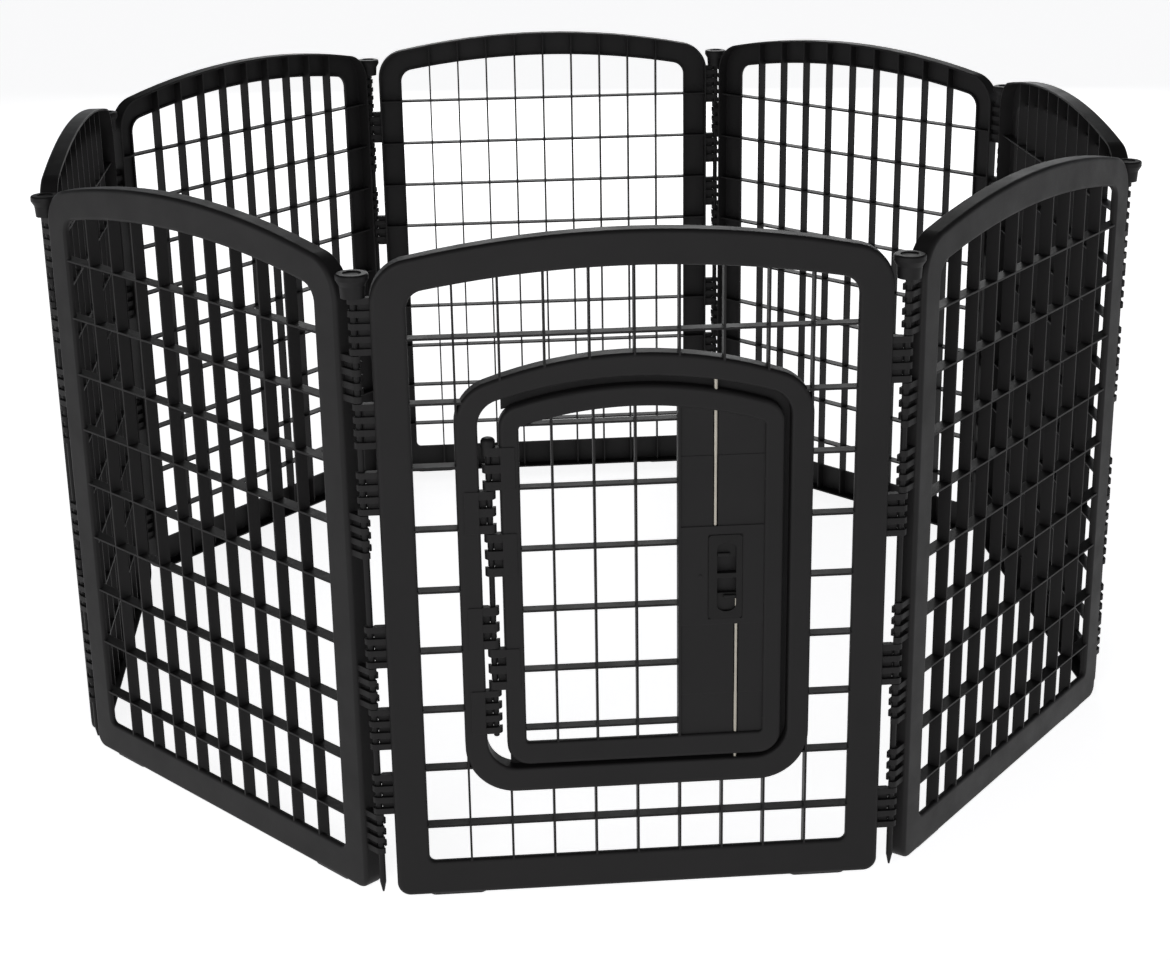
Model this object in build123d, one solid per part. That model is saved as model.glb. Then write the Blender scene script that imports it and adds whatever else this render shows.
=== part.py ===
from build123d import *
import math
import os

# Pet playpen: eight moulded panels in a ring, joined by lift-out hinge rods, one panel with a door.
#
# Millimetres, +Z up. The origin is on the floor at the centre of the ring, and the door panel faces -Y.
# The ring is a little longer than it is wide: its end corners, at both ends of the door panel and of
# the panel opposite, turn a little more than its side corners.
# Each panel is drawn in its own frame first: x runs along the panel, y from the outside (-) to the
# inside (+) with the hinge axes at y = 0, and z is the height above the floor.

# The ring
PANELS = 8
AXIS_PITCH = 636.0  # hinge axis to hinge axis along a panel
EDGE_TO_AXIS = 18.0  # panel edge to hinge axis
FOOT = 2.0  # thickness of the anti-slip pads under each panel
END_TURN = 49.7  # how far the ring turns at each of its four end corners
SIDE_TURN = 90.0 - END_TURN  # and at each of its four side corners
TURNS = (0, END_TURN, SIDE_TURN, SIDE_TURN, END_TURN, END_TURN, SIDE_TURN, SIDE_TURN)
HEADINGS = [sum(TURNS[: i + 1]) for i in range(PANELS)]

# Panel frame
HALF_THICK = 12.0  # the frame reaches this far each side of the hinge axes
WALL = 3.0
PANEL_TOP = 834.0  # top of the arch
PANEL_HALF = AXIS_PITCH / 2 - EDGE_TO_AXIS
ARCH_RADIUS = 1300.0
OPENING_ARCH = 1400.0
TOP_RAIL = 41.5
OUTER_TOP_CORNER = 50.0
OUTER_BOTTOM_CORNER = 17.0
OPENING_HALF = 259.0
OPENING_BOTTOM = 48.2
LIP_BACK = -5.0  # the lip round an opening is shallower than the outer wall
INNER_TOP_CORNER = 22.0
INNER_BOTTOM_CORNER = 8.0
OUTER_ROUND = 5.5  # rounding of the front outer edge
INNER_ROUND = 4.5  # rounding of the front inner edge
BACK_ROUND = 0.9  # rounding of the channel's outer lip

# Grille of the panels
COLUMNS = 10
ROWS = 9
COLUMN_PITCH = 2 * OPENING_HALF / COLUMNS
ROW_PITCH = 77.4
FIRST_ROW = 96.0
BAR = 2.5  # width of a bar seen from the front
BAR_FRONT = -11.0
BAR_BACK = 5.5
RIB_ROOT = 2.7  # the bars run on behind the frame's face as ribs and stop this far inside its outer edge

# Hinge rods and the knuckles that they pass through
ROD_RADIUS = 4.0
ROD_CLEARANCE = 0.5
ROD_TIP = 5.0
ROD_TOP = 793.0
ROD_HEAD_BASE = 765.0
ROD_NECK_RADIUS = 14.0
ROD_HEAD_RADIUS = 19.0
KNUCKLE_RADIUS = 7.2
FIN_PITCH = 15.3
LEFT_KNUCKLES = ((698, 765), (586, 640), (504.5, 557), (310, 363), (202, 255), (115, 168))
RIGHT_KNUCKLES = ((641, 697), (450, 503.5), (256, 309), (60, 114))

# Doorway and its raised surround
DOORWAY_HALF = 183.0
DOORWAY_BOTTOM = 170.0
DOORWAY_TOP = 662.5
DOORWAY_ARCH = 560.0
SURROUND_SIDE = 27.0
SURROUND_BOTTOM = 32.0
SURROUND_TOP = 27.5
SURROUND_ARCH = 520.0
SURROUND_ROUND = 5.5
DOORWAY_ROUND = 3.5

# Stop that the door closes against, on every side but its hinges'
STOP_REACH = 16.0
STOP_LEFT = -155.0
STOP_FRONT = 4.8
STOP_THICK = 3.0

# Door leaf
LEAF_LEFT = -159.0
LEAF_RIGHT = 175.5
LEAF_BOTTOM = 174.0
LEAF_TOP = 652.0
LEAF_ARCH = 500.0
LEAF_STILE = 23.5
LEAF_BOTTOM_RAIL = 30.0
LEAF_TOP_RAIL = 25.7
LEAF_BACK = 4.0
LEAF_ROUND = 5.5
LEAF_INNER_ROUND = 3.5
LEAF_BAR_BACK = 3.5
LEAF_COLUMNS = 3
LEAF_COLUMN_PITCH = 48.75
LEAF_LAST_COLUMN = 0.2
LEAF_ROWS = 6
LEAF_FIRST_ROW = 221.5

# Door hinge
DOOR_AXIS = (-171.5, -5.0)
DOOR_KNUCKLE_RADIUS = 7.6
DOOR_PIN_RADIUS = 3.5
DOOR_PIN_CLEARANCE = 0.4
DOOR_PIN_BOTTOM = 213.0
DOOR_PIN_HEAD = 8.5
DOOR_FIN_PITCH = 18.0
LEAF_KNUCKLES = ((531, 583), (423, 476.5), (276.5, 329.5))
FRAME_KNUCKLES = ((477.5, 530), (330.5, 384), (219, 275.5))
HINGE_PLATE_WIDTH = 18.0
HINGE_PLATE_PROUD = 1.2

# Latch: two sprung slides behind a slotted cover, each with a steel bolt
BOARD_LEFT = 51.0
BOARD_RIGHT = LEAF_RIGHT - LEAF_STILE
BOARD_FRONT = -8.0
BAND_FRONT = -10.0
BAND = (348.0, 474.0)  # lowest and highest point of the raised band across the board
BOLT_RADIUS = 2.5
BOLT_Y = -6.0
UPPER_BOLT_X = 94.0
LOWER_BOLT_X = 119.5
BOLT_ENGAGEMENT = 9.0
COVER = (85.5, 126.5, 355.5, 463.0)  # left, right, bottom, top
COVER_FRONT = -11.0
COVER_THICK = 2.5
POCKET = (88.0, 124.5, 361.0, 457.5)
POCKET_BACK = -1.5
BRIDGE = (408.0, 414.0)  # fixed wall between the two slides
SLOT = (96.0, 119.0)
UPPER_SLOT = (414.0, 453.0)
LOWER_SLOT = (365.0, 408.0)
SLIDE_GAP = 0.35
SPRING_LENGTH = 20.0
SPRING_RADIUS = 2.2
SPRING_WIRE = 0.35
SPRING_TURNS = 7
SLIDE_HEIGHT = 22.0

# Anti-slip pads
PAD_LENGTH = 70.0
PAD_WIDTH = 16.0
PAD_X = 225.0

COLUMN_X = [(i - COLUMNS / 2) * COLUMN_PITCH for i in range(1, COLUMNS)]
ROW_Z = [FIRST_ROW + i * ROW_PITCH for i in range(ROWS)]
LEAF_COLUMN_X = [LEAF_LAST_COLUMN - i * LEAF_COLUMN_PITCH for i in range(LEAF_COLUMNS)]
LEAF_ROW_Z = [LEAF_FIRST_ROW + i * ROW_PITCH for i in range(LEAF_ROWS)]


def arch_height(x, top, arch):
    """The height at x of an arch that is highest at x = 0."""
    return top - arch + math.sqrt(arch**2 - x**2)


def arched(left, right, bottom, top, arch, top_corner, bottom_corner):
    """A flat outline with a shallow arch on top and rounded corners; y of the sketch is height."""
    left_end = (left, arch_height(left, top, arch))
    right_end = (right, arch_height(right, top, arch))
    lines = Polyline(left_end, (left, bottom), (right, bottom), right_end)
    crown = ThreePointArc(right_end, (0, top), left_end)
    face = make_face(lines + crown)
    low = [v for v in face.vertices() if v.Y < bottom + 1]
    face = fillet(low, bottom_corner)
    high = [v for v in face.vertices() if v.Y > (bottom + top) / 2]
    return fillet(high, top_corner)


def box2d(left, right, bottom, top):
    """A rectangle given by its edges."""
    return Pos((left + right) / 2, (bottom + top) / 2) * Rectangle(right - left, top - bottom)


def plate(sketch, front, back):
    """Stands a sketch upright and gives it thickness from y = front to y = back."""
    return extrude(Plane.XZ.offset(-back) * sketch, amount=back - front)


def block(left, right, front, back, bottom, top):
    """A straight-sided block given by its six faces."""
    return plate(box2d(left, right, bottom, top), front, back)


def rod_z(x, y, radius, bottom, top):
    """An upright cylinder."""
    return Pos(x, y, (bottom + top) / 2) * Cylinder(radius, top - bottom)


def level_edges(solid, y, opening, inside):
    """The edges in the plane y that belong to the opening, or those that belong to the outside."""
    reach = opening.bounding_box()
    found = []
    for edge in solid.edges():
        span = edge.bounding_box()
        if abs(span.min.Y - y) > 0.01 or abs(span.max.Y - y) > 0.01:
            continue
        c = edge.center()
        within_x = reach.min.X - 0.1 < c.X < reach.max.X + 0.1
        within_z = reach.min.Y - 0.1 < c.Z < reach.max.Y + 0.1
        if (within_x and within_z) == inside:
            found.append(edge)
    return found


def frame_outline(grow):
    """The outside of a panel frame, grown outwards by a distance."""
    return arched(
        -PANEL_HALF - grow, PANEL_HALF + grow, FOOT - grow, PANEL_TOP + grow,
        ARCH_RADIUS + grow, OUTER_TOP_CORNER + grow, OUTER_BOTTOM_CORNER + grow,
    )


def opening_outline(grow):
    """The opening of a panel frame, grown outwards by a distance."""
    return arched(
        -OPENING_HALF - grow, OPENING_HALF + grow, OPENING_BOTTOM - grow, PANEL_TOP - TOP_RAIL + grow,
        OPENING_ARCH + grow, INNER_TOP_CORNER + grow, INNER_BOTTOM_CORNER + grow,
    )


def surround_outline(grow):
    """The outside of the doorway's surround, grown outwards by a distance."""
    return arched(
        -DOORWAY_HALF - SURROUND_SIDE - grow, DOORWAY_HALF + SURROUND_SIDE + grow,
        DOORWAY_BOTTOM - SURROUND_BOTTOM - grow, DOORWAY_TOP + SURROUND_TOP + grow,
        SURROUND_ARCH + grow, 54 + grow, 62 + grow,
    )


def doorway_outline(grow):
    """The doorway itself, grown outwards by a distance."""
    return arched(
        -DOORWAY_HALF - grow, DOORWAY_HALF + grow, DOORWAY_BOTTOM - grow, DOORWAY_TOP + grow,
        DOORWAY_ARCH + grow, 32 + grow, 38 + grow,
    )


def leaf_outline(grow):
    """The outside of the door leaf, grown outwards by a distance."""
    return arched(
        LEAF_LEFT - grow, LEAF_RIGHT + grow, LEAF_BOTTOM - grow, LEAF_TOP + grow,
        LEAF_ARCH + grow, 28 + grow, 28 + grow,
    )


def leaf_opening_outline(grow):
    """The inside of the door leaf's frame, grown outwards by a distance."""
    return arched(
        LEAF_LEFT + LEAF_STILE - grow, LEAF_RIGHT - LEAF_STILE + grow,
        LEAF_BOTTOM + LEAF_BOTTOM_RAIL - grow, LEAF_TOP - LEAF_TOP_RAIL + grow,
        LEAF_ARCH - LEAF_TOP_RAIL + grow, 5 + grow, 4 + grow,
    )


def hollow_frame(outside, opening, back, lip_back, outer_round, inner_round):
    """A frame moulded as an open-backed channel, deep outside and as deep as its lip at the opening."""
    frame = plate(outside(0) - opening(0), -HALF_THICK, back)
    frame = fillet(level_edges(frame, -HALF_THICK, opening(0), False), outer_round)
    frame = fillet(level_edges(frame, -HALF_THICK, opening(0), True), inner_round)
    frame = fillet(level_edges(frame, back, opening(0), False), BACK_ROUND)
    frame = frame - plate(outside(-WALL) - opening(WALL), WALL - HALF_THICK, back + 1)
    if lip_back < back:
        frame = frame - plate(outside(-WALL), lip_back, back + 1)
    return frame


def bars(upright, level, area, front, back):
    """A grille of crossing bars that fills a flat area."""
    reach = area.bounding_box()
    strips = [box2d(x - BAR / 2, x + BAR / 2, reach.min.Y, reach.max.Y) for x in upright]
    strips += [box2d(reach.min.X, reach.max.X, z - BAR / 2, z + BAR / 2) for z in level]
    crossing = strips[0] + strips[1:]
    return plate(crossing & area, front, back)


def knuckle(low, high, radius, bore, arm, pitch):
    """Hinge loops about the z axis on an arm along +x: half-loops in front and behind by turns."""
    fins = max(2, round((high - low + pitch / 2) / pitch))
    step = (high - low) / (2 * fins - 1)
    web = box2d(bore + 1.5, arm, -2, 2)
    disc = Circle(radius)
    hole = Circle(bore)
    front = (disc + box2d(0, arm, -radius, radius)) & box2d(-radius, arm, -radius, 1)
    front = front + web - hole
    behind = (disc + box2d(0, arm, -radius, radius)) & box2d(-radius / 2, arm, -1, radius)
    behind = behind + web - hole
    slices = []
    for i in range(2 * fins - 1):
        section = front if i % 2 == 0 else behind
        slices.append(extrude(Pos(0, 0, low + i * step) * section, amount=step))
    return slices


def ring_knuckles():
    """The hinge knuckles on both edges of a panel."""
    bore = ROD_RADIUS + ROD_CLEARANCE
    arm = EDGE_TO_AXIS + WALL / 2
    left = [s for span in LEFT_KNUCKLES for s in knuckle(*span, KNUCKLE_RADIUS, bore, arm, FIN_PITCH)]
    right = [s for span in RIGHT_KNUCKLES for s in knuckle(*span, KNUCKLE_RADIUS, bore, arm, FIN_PITCH)]
    half = AXIS_PITCH / 2
    return [Pos(-half, 0, 0) * s for s in left] + [Pos(half, 0, 0) * mirror(s, Plane.YZ) for s in right]


def panel_frame():
    """The outer frame of a panel, without its grille."""
    return hollow_frame(frame_outline, opening_outline, HALF_THICK, LIP_BACK, OUTER_ROUND, INNER_ROUND)


def plain_panel():
    """A panel with a full grille, one moulding; the bars run on as ribs in the hollow back of the frame."""
    grille = bars(COLUMN_X, ROW_Z, frame_outline(-RIB_ROOT), BAR_FRONT, BAR_BACK)
    return panel_frame() + [grille] + ring_knuckles()


def door_knuckles(spans, to_the_left):
    """Knuckles of the door hinge, reaching from the axis to the frame or to the leaf."""
    bore = DOOR_PIN_RADIUS + DOOR_PIN_CLEARANCE
    axis_x, axis_y = DOOR_AXIS
    edge = axis_x + DOORWAY_HALF if to_the_left else LEAF_LEFT - axis_x
    pieces = []
    for low, high in spans:
        for piece in knuckle(low, high, DOOR_KNUCKLE_RADIUS, bore, edge + WALL / 2, DOOR_FIN_PITCH):
            piece = mirror(piece, Plane.YZ) if to_the_left else piece
            pieces.append(Pos(axis_x, axis_y, 0) * piece)
        near = -DOORWAY_HALF - HINGE_PLATE_WIDTH if to_the_left else LEAF_LEFT + 1.5
        far = -DOORWAY_HALF - 1.5 if to_the_left else LEAF_LEFT + HINGE_PLATE_WIDTH
        raised = block(near, far, -HALF_THICK - HINGE_PLATE_PROUD, WALL - HALF_THICK, low, high)
        pieces.append(fillet(raised.edges().filter_by(Axis.Y), 1.5))
    return pieces


def door_stop():
    """The rim behind the door that it closes against."""
    rim = doorway_outline(WALL / 2) - doorway_outline(-STOP_REACH)
    rim = rim & box2d(STOP_LEFT, DOORWAY_HALF + WALL, 0, PANEL_TOP)
    return plate(rim, STOP_FRONT, STOP_FRONT + STOP_THICK)


def door_panel():
    """The panel with the doorway, one moulding with the raised surround."""
    surround = hollow_frame(
        surround_outline, doorway_outline, HALF_THICK, HALF_THICK, SURROUND_ROUND, DOORWAY_ROUND
    )
    area = frame_outline(-RIB_ROOT) - doorway_outline(RIB_ROOT)
    grille = bars(COLUMN_X, ROW_Z, area, BAR_FRONT, BAR_BACK)
    panel = panel_frame() + [grille, surround, door_stop()] + ring_knuckles()
    panel = panel + door_knuckles(FRAME_KNUCKLES, True)
    strike = BOLT_RADIUS + 0.6
    upper = rod_z(UPPER_BOLT_X, BOLT_Y, strike, DOORWAY_TOP - 15, upper_bolt_top() + 3)
    lower = rod_z(LOWER_BOLT_X, BOLT_Y, strike, DOORWAY_BOTTOM - 20, DOORWAY_BOTTOM + 1)
    return panel - [upper, lower]


def latch_board():
    """The solid part of the leaf that carries the latch, with grooves for the bolts."""
    inside = leaf_opening_outline(WALL / 2)
    low, high = BAND
    board = plate(inside & box2d(BOARD_LEFT, BOARD_RIGHT + 1, 190, 640), BOARD_FRONT, 0)
    edge = plate(inside & box2d(BOARD_LEFT - 1.5, BOARD_LEFT + 1.5, 190, 640), BAR_FRONT, LEAF_BACK)
    ledge = block(BOARD_LEFT, BOARD_RIGHT, BOARD_FRONT - 0.6, -5, 257, 562)
    band = block(BOARD_LEFT, BOARD_RIGHT, BAND_FRONT, -5, low, high)
    back = block(POCKET[0] - 3, POCKET[1] + 3, -1, 1.5, POCKET[2] - 4, POCKET[3] + 4)
    ribs = [block(BOARD_LEFT, BOARD_RIGHT + 1, -1, LEAF_BACK - 1, z - 1.2, z + 1.2) for z in LEAF_ROW_Z]
    ribs += [plate(inside & box2d(x - 1.2, x + 1.2, 190, 640), -1, LEAF_BACK - 1) for x in (70, 140)]
    pip = Pos(76, BAND_FRONT - 0.3, 411) * Rot(90, 0, 0) * Cylinder(2, 1.4)
    return [board, edge, ledge, band, back, pip] + ribs


def latch_cuts():
    """What is cut from the leaf for the cover, the slides and the bolts."""
    left, right, bottom, top = COVER
    gap = 0.2
    rebate = block(left - gap, right + gap, -20, COVER_FRONT + COVER_THICK, bottom - gap, top + gap)
    upper = block(POCKET[0], POCKET[1], -20, POCKET_BACK, BRIDGE[1], POCKET[3])
    lower = block(POCKET[0], POCKET[1], -20, POCKET_BACK, POCKET[2], BRIDGE[0])
    wide = BOLT_RADIUS + 0.5
    low, high = BAND
    cuts = [rebate, upper, lower]
    upper_end = arch_height(UPPER_BOLT_X, LEAF_TOP - LEAF_TOP_RAIL, LEAF_ARCH - LEAF_TOP_RAIL)
    lower_end = LEAF_BOTTOM + LEAF_BOTTOM_RAIL
    cuts.append(block(UPPER_BOLT_X - wide, UPPER_BOLT_X + wide, -12.5, BOLT_Y + wide, high, upper_end))
    cuts.append(block(LOWER_BOLT_X - wide, LOWER_BOLT_X + wide, -12.5, BOLT_Y + wide, lower_end, low))
    cuts.append(rod_z(UPPER_BOLT_X, BOLT_Y, wide - 0.1, POCKET[3] - 1, 670))
    cuts.append(rod_z(LOWER_BOLT_X, BOLT_Y, wide - 0.1, 160, POCKET[2] + 1))
    cuts += [snap_peg(x, z, 1.6, 4.7) for x, z in snap_places()]
    return cuts


def snap_places():
    """Where the cover's four pegs go in."""
    low = (COVER[2] + POCKET[2]) / 2
    high = (COVER[3] + POCKET[3]) / 2
    return (96.0, low), (106.0, low), (104.0, high), (114.0, high)


def snap_peg(x, z, radius, length):
    """A peg that points inwards from the back of the cover."""
    start = COVER_FRONT + COVER_THICK
    return Pos(x, start + length / 2, z) * Rot(90, 0, 0) * Cylinder(radius, length)


def bolt_bosses():
    """The blocks inside the top and bottom rails of the leaf that guide the bolts."""
    top = arch_height(UPPER_BOLT_X + 5, LEAF_TOP, LEAF_ARCH) - 1
    bottom = LEAF_BOTTOM + 2
    front = WALL - HALF_THICK - 0.5
    upper = block(UPPER_BOLT_X - 5, UPPER_BOLT_X + 5, front, 0, top - 20, top)
    lower = block(LOWER_BOLT_X - 5, LOWER_BOLT_X + 5, front, 0, bottom, bottom + 26)
    return [upper, lower]


def door_leaf():
    """The door: frame, grille, hinge knuckles and latch board, one moulding."""
    frame = hollow_frame(
        leaf_outline, leaf_opening_outline, LEAF_BACK, LIP_BACK, LEAF_ROUND, LEAF_INNER_ROUND
    )
    board = box2d(BOARD_LEFT, BOARD_RIGHT, LEAF_BOTTOM + LEAF_BOTTOM_RAIL, LEAF_TOP)
    grille = bars(LEAF_COLUMN_X, LEAF_ROW_Z, leaf_outline(-RIB_ROOT) - board, BAR_FRONT, LEAF_BAR_BACK)
    leaf = frame + [grille] + latch_board() + door_knuckles(LEAF_KNUCKLES, False)
    return leaf + bolt_bosses() - latch_cuts()


def hinge_rod():
    """A long rod with a pointed end and a flared head, about the z axis."""
    tip = ROD_TIP
    outline = Polyline(
        (0, tip), (1.2, tip), (ROD_RADIUS, tip + 14), (ROD_RADIUS, ROD_HEAD_BASE),
        (ROD_NECK_RADIUS, ROD_HEAD_BASE), (ROD_NECK_RADIUS + 1, ROD_TOP - 14),
        (ROD_HEAD_RADIUS, ROD_TOP - 7), (ROD_HEAD_RADIUS, ROD_TOP), (11, ROD_TOP), (10, ROD_TOP - 1.5),
        (0, ROD_TOP - 1.5), (0, tip),
    )
    rod = revolve(Plane.XZ * make_face(outline), Axis.Z)
    rim = [e for e in rod.edges() if e.center().Z > ROD_TOP - 0.1 and e.length > 6 * ROD_NECK_RADIUS]
    return fillet(rim, 2.5)


def door_hinge_pin():
    """The pin of the door hinge with its domed head."""
    top = LEAF_KNUCKLES[0][1]
    x, y = DOOR_AXIS
    shaft = rod_z(x, y, DOOR_PIN_RADIUS, DOOR_PIN_BOTTOM, top + 1)
    shaft = chamfer(shaft.edges().sort_by(Axis.Z)[0], 1)
    head = rod_z(x, y, DOOR_PIN_HEAD, top, top + 11)
    head = fillet(head.edges().sort_by(Axis.Z)[-1], 5)
    return shaft + head


def latch_cover():
    """The cover plate with its two finger slots and the pegs that hold it."""
    left, right, bottom, top = COVER
    outline = fillet(box2d(left, right, bottom, top).vertices(), 5)
    middle = (SLOT[0] + SLOT[1]) / 2
    half = (SLOT[1] - SLOT[0]) / 2
    upper = box2d(SLOT[0], SLOT[1], UPPER_SLOT[0], UPPER_SLOT[1] - half * 0.7)
    upper = upper + Pos(middle, UPPER_SLOT[1] - half * 0.7) * Ellipse(half, half * 0.7)
    lower = box2d(SLOT[0], SLOT[1], LOWER_SLOT[0] + half * 0.7, LOWER_SLOT[1])
    lower = lower + Pos(middle, LOWER_SLOT[0] + half * 0.7) * Ellipse(half, half * 0.7)
    cover = plate(outline, COVER_FRONT, COVER_FRONT + COVER_THICK)
    front = [e for e in cover.edges() if e.bounding_box().max.Y < COVER_FRONT + 0.01]
    cover = fillet(front, 0.8) - plate(upper + lower, -20, 20)
    return cover + [snap_peg(x, z, 1.5, 4.2) for x, z in snap_places()]


def latch_slide(upper):
    """A sliding block with a finger tab, a hole for its bolt and a peg for its spring."""
    low = BRIDGE[1] + SPRING_LENGTH if upper else BRIDGE[0] - SPRING_LENGTH - SLIDE_HEIGHT
    high = low + SLIDE_HEIGHT
    front = COVER_FRONT + COVER_THICK + SLIDE_GAP
    body = block(POCKET[0] + SLIDE_GAP, POCKET[1] - SLIDE_GAP, front, POCKET_BACK - SLIDE_GAP, low, high)
    body = fillet(body.edges().filter_by(Axis.Y), 1)
    tab_left = SLOT[0] + 0.6 if upper else SLOT[1] - 15
    tab_low = low + 2 if upper else high - 6
    tab = block(tab_left, tab_left + 14.4, COVER_FRONT - 1.2, front + 1, tab_low, tab_low + 4)
    tab = fillet([e for e in tab.edges() if e.bounding_box().max.Y < COVER_FRONT - 1.1], 0.8)
    bolt_x = UPPER_BOLT_X if upper else LOWER_BOLT_X
    bolt_low = low + 8 if upper else low - 1
    bolt_hole = rod_z(bolt_x, BOLT_Y, BOLT_RADIUS + 0.05, bolt_low, bolt_low + SLIDE_HEIGHT - 7)
    peg_low = low - 5 if upper else high - 1
    peg = rod_z(spring_x(upper), BOLT_Y + 1, 1.4, peg_low, peg_low + 6)
    return body + [tab, peg] - bolt_hole


def upper_bolt_top():
    """How high the upper bolt reaches when it is shut."""
    return arch_height(UPPER_BOLT_X, DOORWAY_TOP, DOORWAY_ARCH) + BOLT_ENGAGEMENT


def latch_bolt(upper):
    """A round steel bolt with a chamfered nose."""
    if upper:
        low = BRIDGE[1] + SPRING_LENGTH + 8
        bolt = rod_z(UPPER_BOLT_X, BOLT_Y, BOLT_RADIUS, low, upper_bolt_top())
        return chamfer(bolt.edges().sort_by(Axis.Z)[-1], 1.2)
    high = BRIDGE[0] - SPRING_LENGTH - 8
    low = DOORWAY_BOTTOM - BOLT_ENGAGEMENT
    bolt = rod_z(LOWER_BOLT_X, BOLT_Y, BOLT_RADIUS, low, high)
    return chamfer(bolt.edges().sort_by(Axis.Z)[0], 1.2)


def spring_x(upper):
    """The springs stand behind the margins of the cover."""
    return 92.0 if upper else 121.2


def latch_spring(upper):
    """A small compression spring between the bridge and a slide."""
    low = BRIDGE[1] if upper else BRIDGE[0] - SPRING_LENGTH
    height = SPRING_LENGTH - 2 * SPRING_WIRE - 0.1
    path = Helix(height / SPRING_TURNS, height, SPRING_RADIUS)
    section = Plane(origin=path @ 0, z_dir=path % 0) * Circle(SPRING_WIRE)
    coil = sweep(section, path=path)
    return Pos(spring_x(upper), BOLT_Y + 1, low + SPRING_WIRE + 0.05) * coil


def foot_pads():
    """The two anti-slip pads under one panel."""
    pad = extrude(SlotOverall(PAD_LENGTH, PAD_WIDTH), amount=FOOT)
    return Compound([Pos(-PAD_X, 0, 0) * pad, Pos(PAD_X, 0, 0) * pad])


def half_depth():
    """From the middle of the ring to the hinge axes of the door panel."""
    return AXIS_PITCH * sum(math.sin(math.radians(h)) for h in HEADINGS[: PANELS // 2]) / 2


def panel_middle(index):
    """The point midway between the hinge axes of one panel."""
    x, y = 0.0, -half_depth()
    for i in range(index):
        for heading in (HEADINGS[i], HEADINGS[i + 1]):
            x += AXIS_PITCH / 2 * math.cos(math.radians(heading))
            y += AXIS_PITCH / 2 * math.sin(math.radians(heading))
    return x, y


def place(shape, index):
    """Puts a shape drawn in a panel's frame at one place of the ring, 0 being the door panel."""
    return Pos(*panel_middle(index), 0) * Rot(0, 0, HEADINGS[index]) * shape


def write(name, shape):
    """Writes one piece as a STEP file."""
    solids = shape.solids()
    export_step(solids[0] if len(solids) == 1 else Compound(solids), f"parts/{name}.step")


def main():
    os.makedirs("parts", exist_ok=True)
    write("door_panel", place(door_panel(), 0))
    panel = plain_panel()
    rod = Pos(-AXIS_PITCH / 2, 0, 0) * hinge_rod()
    for index in range(PANELS):
        if index:
            write(f"panel_{index + 1}", place(panel, index))
        write(f"hinge_rod_{index + 1}", place(rod, index))
        write(f"foot_pads_{index + 1}", place(foot_pads(), index))
    write("door_leaf", place(door_leaf(), 0))
    write("door_hinge_pin", place(door_hinge_pin(), 0))
    write("latch_cover", place(latch_cover(), 0))
    for name, upper in (("upper", True), ("lower", False)):
        write(f"{name}_latch_slide", place(latch_slide(upper), 0))
        write(f"{name}_latch_bolt", place(latch_bolt(upper), 0))
        write(f"{name}_latch_spring", place(latch_spring(upper), 0))


main()
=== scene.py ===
import math

import bpy
from mathutils import Matrix, Vector


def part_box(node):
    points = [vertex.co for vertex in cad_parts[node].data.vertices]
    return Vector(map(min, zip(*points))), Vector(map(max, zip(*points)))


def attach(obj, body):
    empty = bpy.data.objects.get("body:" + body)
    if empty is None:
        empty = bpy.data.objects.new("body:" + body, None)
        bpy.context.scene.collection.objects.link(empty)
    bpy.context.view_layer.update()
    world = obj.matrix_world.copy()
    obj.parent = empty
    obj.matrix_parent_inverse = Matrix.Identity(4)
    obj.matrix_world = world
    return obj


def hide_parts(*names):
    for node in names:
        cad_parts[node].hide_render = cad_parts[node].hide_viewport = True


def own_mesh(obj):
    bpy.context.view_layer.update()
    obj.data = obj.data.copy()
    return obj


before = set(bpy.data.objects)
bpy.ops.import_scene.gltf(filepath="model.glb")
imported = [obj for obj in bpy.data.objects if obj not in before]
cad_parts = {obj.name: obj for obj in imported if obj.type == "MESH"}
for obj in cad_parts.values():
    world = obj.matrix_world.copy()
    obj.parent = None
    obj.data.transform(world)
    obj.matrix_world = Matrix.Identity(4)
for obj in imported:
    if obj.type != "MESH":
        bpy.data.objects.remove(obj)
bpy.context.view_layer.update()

# Pet playpen: the looks around the imported model. Metres, +Z up, the door panel faces -Y.
# Every CAD node keeps its shape and gets the material of its slot. The two latch springs are
# replaced by coils that ride with the door; a spring shortens as its latch is pulled.

# Camera, angles in degrees
CAMERA_PLACE = (-0.2433, -3.1939, 1.3823)
CAMERA_YAW = 4.41  # to the right of +Y
CAMERA_DOWN = 19.46
CAMERA_ROLL = -0.93
CAMERA_LENS = 66.89  # millimetres
SENSOR = 36.0  # millimetres wide
CAMERA_REACH = 200.0  # past the corners of the floor

# Stage: the sky is bright at floor level and dim above, as in a studio with a lit white wall
FLOOR_HALF = 90.0
FLOOR_COLOUR = (0.90, 0.90, 0.905)
FLOOR_GLOW = 0.95
FLOOR_ROUGHNESS = 0.9
FLOOR_GLOSS = 0.1
SKY_COLOUR = (0.95, 0.97, 1.0)
SKY_STRENGTH = 0.06
WALL_STRENGTH = 1.1
WALL_TOP = (0.10, 0.26)  # heights in the sky, as sines, between which the brightness falls

# Soft lights: name, place, size, watts, what they are aimed at
LIGHTS = (
    ("key_light", (-1.8, -5.2, 1.9), 3.0, 84.0, (0.0, -0.6, 0.45)),
    ("fill_light", (3.6, -4.0, 1.6), 2.6, 3.0, (0.2, -0.4, 0.4)),
    ("side_light", (-4.6, -1.6, 1.5), 2.4, 8.0, (-0.6, 0.0, 0.4)),
    ("back_light", (0.6, 4.6, 1.9), 3.0, 60.0, (0.0, 0.3, 0.45)),
)

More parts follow.
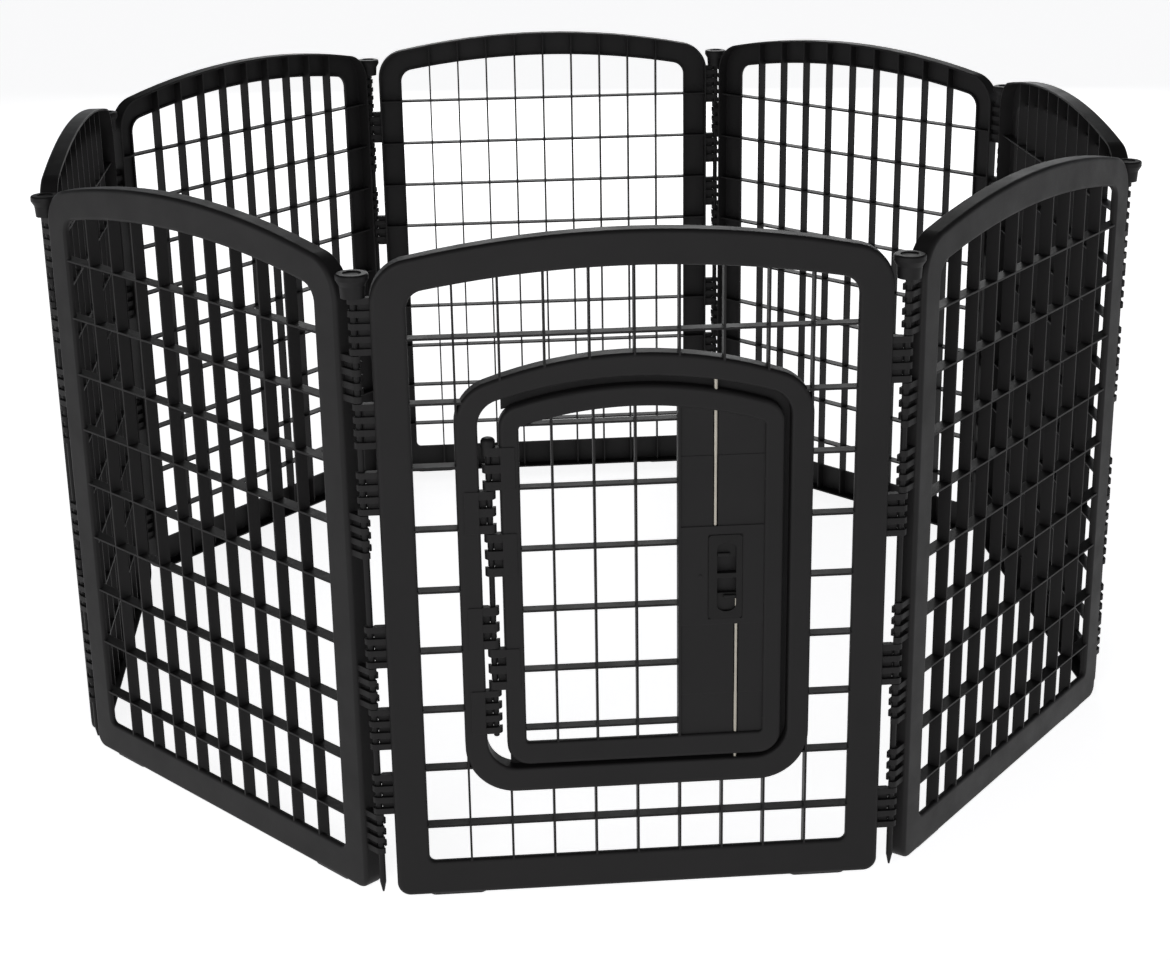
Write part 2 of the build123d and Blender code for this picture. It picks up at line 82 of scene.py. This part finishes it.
# Latch springs: piece, the node it stands for, the joint that shortens it, height of its fixed end
SPRINGS = (
    ("upper_latch_coil", "upper_latch_spring", "upper_latch_pull", 0.414),
    ("lower_latch_coil", "lower_latch_spring", "lower_latch_pull", 0.408),
)
SPRING_WIRE = 0.00035  # radius
SPRING_TURNS = 7
STEPS_PER_TURN = 28
WIRE_SIDES = 8

# Plastics, by material slot: dark and light colour, roughness, depth of the grain
PLASTICS = {
    "panel_plastic": ((0.0110, 0.0106, 0.0108), (0.0160, 0.0152, 0.0155), 0.50, 0.5),
    "rod_plastic": ((0.0085, 0.0082, 0.0085), (0.0120, 0.0115, 0.0118), 0.46, 0.35),
    "latch_plastic": ((0.0095, 0.0092, 0.0092), (0.0130, 0.0125, 0.0125), 0.55, 0.6),
}
# Steels: dark and light colour, roughness
STEELS = {
    "bolt_steel": ((0.30, 0.28, 0.24), (0.42, 0.39, 0.34), 0.34),
    "spring_steel": ((0.42, 0.42, 0.43), (0.55, 0.55, 0.56), 0.28),
}
# Rubbers: dark and light colour, roughness
RUBBERS = {
    "pad_rubber": ((0.010, 0.010, 0.010), (0.018, 0.018, 0.018), 0.85),
}
PLASTIC_IOR = 1.49
PLASTIC_GLOSS = 0.13  # specular level
EDGE_ROUNDING = 0.0009
EDGE_ONSET = 0.02
EDGE_STEEPNESS = 3.0
EDGE_WEAR_AND_HIGHLIGHT = 0.6  # how far a sharp edge goes towards its lighter colour: part wear, part painted highlight
# the edge colour is the light colour times this: part wear, part painted highlight
WORN_AND_HIGHLIT_LIGHTER = 2.4
SCUFF_ONSET = (0.60, 0.72)
SCUFF_ROUGHNESS = 0.05
PATCH_ROUGHNESS = (-0.05, 0.06)
LINE_ROUGHNESS = (-0.08, 0.10)

# Noises: scale per metre, detail, roughness. Most of a noise lies in the middle of 0 to 1.
NOISE_MIDDLE = (0.3, 0.7)
SCUFF_NOISE = (9.0, 6.0, 0.7)
FLOW_NOISE = (5.0, 3.0, 0.55)
PATCH_NOISE = (22.0, 4.0, 0.6)
WAVE_NOISE = (13.0, 1.0)
GRAIN_NOISE = (1100.0, 3.0, 0.65)
LINE_NOISE = (2600.0, 2.0)
PLATING_NOISE = (60.0, 3.0)
RUBBER_NOISE = (90.0, 3.0)
STIPPLE_NOISE = (1100.0, 2.0)

# How far a noise is squeezed along X, Y and Z
SCUFF_STRETCH = (3.0, 3.0, 40.0)
LINE_STRETCH = (1.0, 1.0, 0.02)

# Reliefs: height and strength
WAVE_RELIEF = (0.0012, 0.25)
GRAIN_HEIGHT = 0.00012
LINE_RELIEF = (0.00002, 0.4)
STIPPLE_RELIEF = (0.0001, 0.6)


def add(tree, kind, *links, **values):
    """Adds a shader node. A link is a socket or a plain value, with the input it goes to."""
    made = tree.nodes.new(kind)
    for name, value in values.items():
        setattr(made, name, value)
    for source, target in links:
        if isinstance(source, bpy.types.NodeSocket):
            tree.links.new(source, made.inputs[target])
        else:
            made.inputs[target].default_value = source
    return made


def place_on_part(tree, stretch=(1, 1, 1)):
    """Coordinates that stay on the part as it moves."""
    coords = add(tree, "ShaderNodeTexCoord").outputs["Object"]
    if stretch == (1, 1, 1):
        return coords
    return add(tree, "ShaderNodeMapping", (coords, "Vector"), (stretch, "Scale")).outputs["Vector"]


def noise(tree, coords, scale, detail=2.0, rough=0.5):
    """A soft noise, 0 to 1."""
    links = [(coords, "Vector"), (scale, "Scale"), (detail, "Detail"), (rough, "Roughness")]
    return add(tree, "ShaderNodeTexNoise", *links).outputs["Fac"]


def remap(tree, source, low, high, to_low, to_high):
    """A value moved from one range to another and kept inside it."""
    ends = [(low, "From Min"), (high, "From Max"), (to_low, "To Min"), (to_high, "To Max")]
    return add(tree, "ShaderNodeMapRange", (source, "Value"), *ends).outputs["Result"]


def varied(tree, source, value, below_and_above):
    """A value that a noise makes a little lower or higher."""
    below, above = below_and_above
    return remap(tree, source, *NOISE_MIDDLE, value + below, value + above)


def mixed(tree, share, colour_a, colour_b):
    """Two colours mixed by a share."""
    made = add(tree, "ShaderNodeMix", data_type="RGBA")
    for socket, value in zip((made.inputs[6], made.inputs[7]), (colour_a, colour_b)):
        if isinstance(value, bpy.types.NodeSocket):
            tree.links.new(value, socket)
        else:
            socket.default_value = (*value, 1.0)
    tree.links.new(share, made.inputs[0])
    return made.outputs[2]


def arithmetic(tree, operation, a, b):
    """One sum, difference or product of two values."""
    made = add(tree, "ShaderNodeMath", (a, 0), (b, 1), operation=operation)
    return made.outputs[0]


def bump(tree, height, distance, strength, normal=None):
    """Fine relief, on top of another normal if one is given."""
    links = [(height, "Height"), (distance, "Distance"), (strength, "Strength")]
    if normal is not None:
        links.append((normal, "Normal"))
    return add(tree, "ShaderNodeBump", *links).outputs["Normal"]


def edge_share(tree, radius, steepness):
    """How near a sharp edge is, 0 to 1, and the normal of a small rounding there."""
    rounded = add(tree, "ShaderNodeBevel", (radius, "Radius"), samples=4).outputs["Normal"]
    plain = add(tree, "ShaderNodeNewGeometry").outputs["Normal"]
    dot = add(tree, "ShaderNodeVectorMath", (rounded, 0), (plain, 1), operation="DOT_PRODUCT")
    away = arithmetic(tree, "SUBTRACT", 1.0, dot.outputs["Value"])
    return remap(tree, away, EDGE_ONSET, 1.0 / steepness, 0.0, 1.0), rounded


def new_material(name):
    """A material with its node tree and its shader."""
    made = bpy.data.materials.new(name)
    made.use_nodes = True
    return made, made.node_tree, made.node_tree.nodes["Principled BSDF"]


def plastic_colour(tree, dark, light, near_edge):
    """Soft flow marks, and lighter sharp edges: part wear, part painted highlight."""
    flowing = mixed(tree, noise(tree, place_on_part(tree), *FLOW_NOISE), dark, light)
    # sharp edges made lighter: part wear, part painted highlight
    worn_and_highlit = tuple(WORN_AND_HIGHLIT_LIGHTER * channel for channel in light)
    return mixed(tree, arithmetic(tree, "MULTIPLY", near_edge, EDGE_WEAR_AND_HIGHLIGHT), flowing, worn_and_highlit)


def plastic_roughness(tree, roughness):
    """Patches that shine a little more or less, and faint scuffs along the part."""
    patches = noise(tree, place_on_part(tree), *PATCH_NOISE)
    patches = varied(tree, patches, roughness, PATCH_ROUGHNESS)
    scuffs = noise(tree, place_on_part(tree, SCUFF_STRETCH), *SCUFF_NOISE)
    scuffs = remap(tree, scuffs, *SCUFF_ONSET, 0.0, 1.0)
    return arithmetic(tree, "ADD", patches, arithmetic(tree, "MULTIPLY", scuffs, SCUFF_ROUGHNESS))


def moulded_plastic(name, dark, light, roughness, grain):
    """Satin moulded plastic: fine spark-eroded grain on slightly wavy faces, with lighter edges that
    are part wear, part painted highlight.
    """
    made, tree, shader = new_material(name)
    coords = place_on_part(tree)
    near_edge, rounded = edge_share(tree, EDGE_ROUNDING, EDGE_STEEPNESS)
    wavy = bump(tree, noise(tree, coords, *WAVE_NOISE), *WAVE_RELIEF, rounded)
    fine = bump(tree, noise(tree, coords, *GRAIN_NOISE), GRAIN_HEIGHT, grain, wavy)
    tree.links.new(plastic_colour(tree, dark, light, near_edge), shader.inputs["Base Color"])
    tree.links.new(plastic_roughness(tree, roughness), shader.inputs["Roughness"])
    tree.links.new(fine, shader.inputs["Normal"])
    shader.inputs["IOR"].default_value = PLASTIC_IOR
    shader.inputs["Specular IOR Level"].default_value = PLASTIC_GLOSS
    return made


def drawn_steel(name, dark, light, roughness):
    """Zinc-plated drawn wire: lines along its length and a slightly cloudy plating."""
    made, tree, shader = new_material(name)
    lines = noise(tree, place_on_part(tree, LINE_STRETCH), *LINE_NOISE)
    cloud = noise(tree, place_on_part(tree), *PLATING_NOISE)
    shine = varied(tree, lines, roughness, LINE_ROUGHNESS)
    tree.links.new(mixed(tree, cloud, dark, light), shader.inputs["Base Color"])
    tree.links.new(shine, shader.inputs["Roughness"])
    tree.links.new(bump(tree, lines, *LINE_RELIEF), shader.inputs["Normal"])
    shader.inputs["Metallic"].default_value = 1.0
    return made


def matt_rubber(name, dark, light, roughness):
    """Matt rubber with a stippled face."""
    made, tree, shader = new_material(name)
    coords = place_on_part(tree)
    colour = mixed(tree, noise(tree, coords, *RUBBER_NOISE), dark, light)
    stipple = bump(tree, noise(tree, coords, *STIPPLE_NOISE), *STIPPLE_RELIEF)
    tree.links.new(colour, shader.inputs["Base Color"])
    tree.links.new(stipple, shader.inputs["Normal"])
    shader.inputs["Roughness"].default_value = roughness
    return made


def make_materials():
    """The material of every slot, by the slot's name."""
    made = {}
    for maker, table in ((moulded_plastic, PLASTICS), (drawn_steel, STEELS), (matt_rubber, RUBBERS)):
        for slot, values in table.items():
            made[slot] = maker(f"{slot}_look", *values)
    return made


def finish_nodes(looks):
    """Gives every CAD node the material of its slot."""
    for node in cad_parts.values():
        for slot in node.material_slots:
            slot.material = looks[slot.material.name]


def coil_ring(low, high, share):
    """The points round the wire at one place along a coil that fills a box."""
    centre = (low + high) / 2
    radius = (high.x - low.x) / 2 - SPRING_WIRE
    climb = high.z - low.z - 2 * SPRING_WIRE
    angle = math.tau * SPRING_TURNS * share
    outward = Vector((math.cos(angle), math.sin(angle), 0.0))
    forward = Vector((-math.sin(angle), math.cos(angle), climb / (math.tau * SPRING_TURNS * radius)))
    across = outward.cross(forward.normalized())
    middle = Vector((centre.x, centre.y, low.z + SPRING_WIRE + climb * share)) + radius * outward
    turns = (math.tau * k / WIRE_SIDES for k in range(WIRE_SIDES))
    return [middle + SPRING_WIRE * (math.cos(t) * outward + math.sin(t) * across) for t in turns]


def coil_mesh(name, low, high):
    """A round wire wound into a coil that fills a box."""
    steps = SPRING_TURNS * STEPS_PER_TURN
    points = [point for i in range(steps + 1) for point in coil_ring(low, high, i / steps)]
    faces = [tuple(reversed(range(WIRE_SIDES)))]
    for i in range(steps):
        for k in range(WIRE_SIDES):
            a = i * WIRE_SIDES + k
            b = i * WIRE_SIDES + (k + 1) % WIRE_SIDES
            faces.append((a, b, b + WIRE_SIDES, a + WIRE_SIDES))
    faces.append(tuple(steps * WIRE_SIDES + k for k in range(WIRE_SIDES)))
    mesh = bpy.data.meshes.new(name)
    mesh.from_pydata(points, [], faces)
    mesh.shade_smooth()
    return mesh


def make_springs(look):
    """Coils in place of the CAD springs, each fixed to the door body."""
    for name, node, joint, fixed_end in SPRINGS:
        low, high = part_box(node)
        coil = bpy.data.objects.new(name, coil_mesh(name, low, high))
        bpy.context.scene.collection.objects.link(coil)
        coil.data.materials.append(look)
        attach(coil, "door")
        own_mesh(coil)
        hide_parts(node)


def make_floor():
    """A plain pale floor that reaches past every view."""
    mesh = bpy.data.meshes.new("floor")
    half = FLOOR_HALF
    corners = [(-half, -half, 0), (half, -half, 0), (half, half, 0), (-half, half, 0)]
    mesh.from_pydata(corners, [], [(0, 1, 2, 3)])
    floor = bpy.data.objects.new("floor", mesh)
    bpy.context.scene.collection.objects.link(floor)
    made, tree, shader = new_material("floor_look")
    shader.inputs["Base Color"].default_value = (*FLOOR_COLOUR, 1.0)
    shader.inputs["Roughness"].default_value = FLOOR_ROUGHNESS
    shader.inputs["Specular IOR Level"].default_value = FLOOR_GLOSS
    shader.inputs["Emission Color"].default_value = (*FLOOR_COLOUR, 1.0)
    shader.inputs["Emission Strength"].default_value = FLOOR_GLOW
    mesh.materials.append(made)


def make_lights():
    """Large soft lights."""
    for name, place, size, watts, target in LIGHTS:
        data = bpy.data.lights.new(name, "AREA")
        data.shape = "SQUARE"
        data.size = size
        data.energy = watts
        light = bpy.data.objects.new(name, data)
        bpy.context.scene.collection.objects.link(light)
        aim = (Vector(target) - Vector(place)).to_track_quat("-Z", "Y")
        light.matrix_world = Matrix.Translation(place) @ aim.to_matrix().to_4x4()


def make_sky():
    """A sky that is as bright as the floor where they meet, so that no view ends in a dark band."""
    world = bpy.data.worlds.new("studio")
    world.use_nodes = True
    tree = world.node_tree
    sky = tree.nodes["Background"]
    sky.inputs["Color"].default_value = (*SKY_COLOUR, 1.0)
    direction = add(tree, "ShaderNodeTexCoord").outputs["Generated"]
    height = add(tree, "ShaderNodeSeparateXYZ", (direction, 0)).outputs["Z"]
    strength = remap(tree, height, *WALL_TOP, WALL_STRENGTH, SKY_STRENGTH)
    tree.links.new(strength, sky.inputs["Strength"])
    bpy.context.scene.world = world


def make_camera():
    """The camera, without lens shift or depth of field."""
    data = bpy.data.cameras.new("camera")
    data.sensor_width = SENSOR
    data.lens = CAMERA_LENS
    data.clip_end = CAMERA_REACH
    camera = bpy.data.objects.new("camera", data)
    bpy.context.scene.collection.objects.link(camera)
    turn = Matrix.Rotation(math.radians(-CAMERA_YAW), 4, "Z")
    tilt = Matrix.Rotation(math.radians(90.0 - CAMERA_DOWN), 4, "X")
    roll = Matrix.Rotation(math.radians(CAMERA_ROLL), 4, "Z")
    camera.matrix_world = Matrix.Translation(CAMERA_PLACE) @ turn @ tilt @ roll
    bpy.context.scene.camera = camera


looks = make_materials()
finish_nodes(looks)
make_springs(looks["spring_steel"])
make_floor()
make_lights()
make_sky()
make_camera()
bpy.context.scene.view_settings.view_transform = "Standard"
